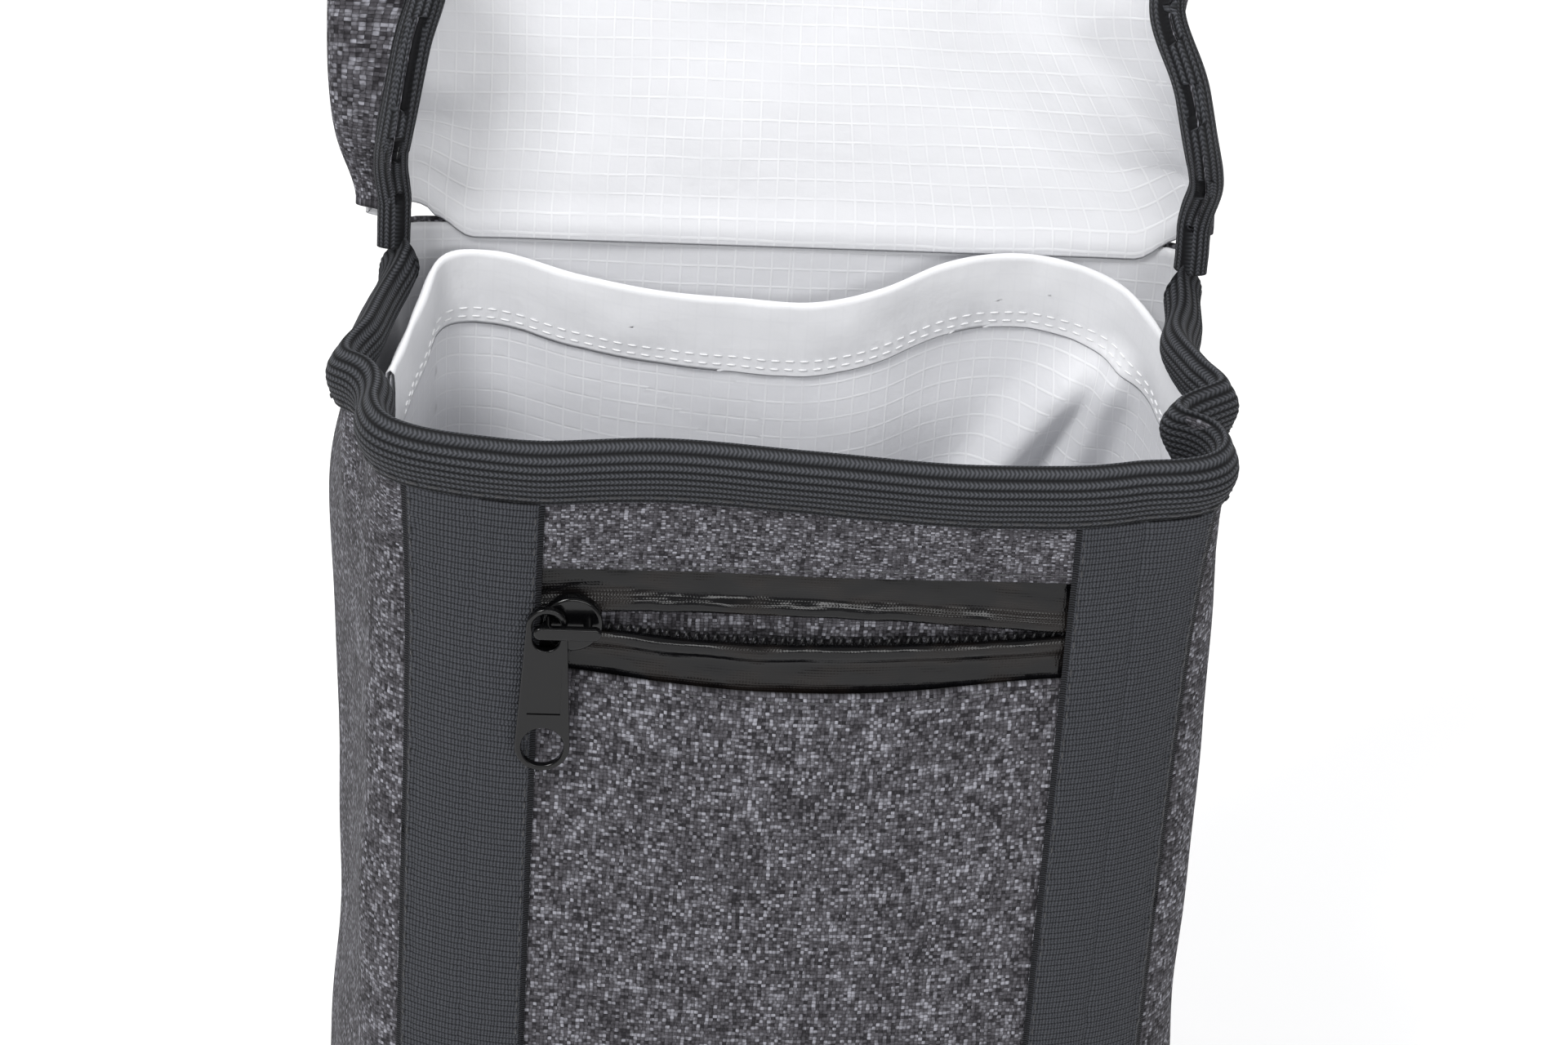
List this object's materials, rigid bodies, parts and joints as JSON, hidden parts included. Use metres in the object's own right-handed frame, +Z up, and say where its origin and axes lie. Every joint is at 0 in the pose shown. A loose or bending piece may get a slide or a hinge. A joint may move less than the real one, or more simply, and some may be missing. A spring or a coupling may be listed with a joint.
{
  "type": "flap-top courier bag",
  "caption": "Small soft courier bag with an open bound mouth, a raised flap, long loop tapes down the front, a front zip pocket and a white ripstop lining.",
  "frame": {"origin": "middle of the base's flat underside", "axes": "+Z up, the front face with the zip and loop tapes faces -Y, +X is to the right seen from the front"},
  "size_m": [0.1938, 0.169, 0.4572],
  "materials": {
    "melange_fabric": "matt charcoal melange plain weave with pale flecks",
    "ripstop_lining": "cool white ripstop with a faint grid and a soft sheen",
    "knit_binding": "dark grey knitted elastic",
    "loop_tape": "black looped pile with woven edges",
    "hook_tape": "black moulded hooks with woven edges",
    "coated_zip_tape": "glossy black coating over a fine weave",
    "zip_teeth": "black nylon coil",
    "black_enamel": "glossy black enamel on cast zinc",
    "stiffener_board": "plain matt board"
  },
  "bodies": {
    "bag": {"front_panel": "melange_fabric", "left_gusset": "melange_fabric", "right_gusset": "melange_fabric", "back_panel": "melange_fabric", "base_panel": "melange_fabric", "base_board": "stiffener_board", "front_lining": "ripstop_lining", "left_lining": "ripstop_lining", "right_lining": "ripstop_lining", "back_lining": "ripstop_lining", "base_lining": "ripstop_lining", "inner_pocket": "ripstop_lining", "inner_pocket_hem": "ripstop_lining", "mouth_binding": "knit_binding", "loop_tape_left": "loop_tape", "loop_tape_right": "loop_tape", "zip_tape_upper": "coated_zip_tape", "zip_tape_lower": "coated_zip_tape", "zip_coil_upper": "zip_teeth", "zip_coil_lower": "zip_teeth", "zip_pocket_bag": "melange_fabric"},
    "slider": {"zip_slider": "black_enamel", "slider_bridge": "black_enamel"},
    "puller": {"zip_puller": "black_enamel"},
    "flap_top": {"flap_top_panel": "melange_fabric", "flap_return_left": "melange_fabric", "flap_return_right": "melange_fabric", "flap_top_lining": "ripstop_lining", "flap_side_binding_left": "knit_binding", "flap_side_binding_right": "knit_binding"},
    "flap_front": {"flap_front_panel": "melange_fabric", "flap_front_lining": "ripstop_lining", "flap_front_binding": "knit_binding", "hook_tape_left": "hook_tape", "hook_tape_right": "hook_tape"}
  },
  "joints": [
    {"name": "flap_hinge", "type": "hinge", "parent": "bag", "child": "flap_top", "pos_m": [0, 0.0433, 0.239], "axis": [1, 0, 0], "range_deg": [-155, 113]},
    {"name": "flap_fold", "type": "hinge", "parent": "flap_top", "child": "flap_front", "pos_m": [0, 0.07853, 0.33579], "axis": [1, 0, 0], "range_deg": [0, 92]},
    {"name": "zip_slide", "type": "slide", "parent": "bag", "child": "slider", "axis": [1, 0, 0], "range_m": [0, 0.0875]},
    {"name": "puller_swing", "type": "hinge", "parent": "slider", "child": "puller", "pos_m": [-0.0488, -0.0452, 0.1925], "axis": [0, -1, 0], "range_deg": [-15, 15]}
  ]
}
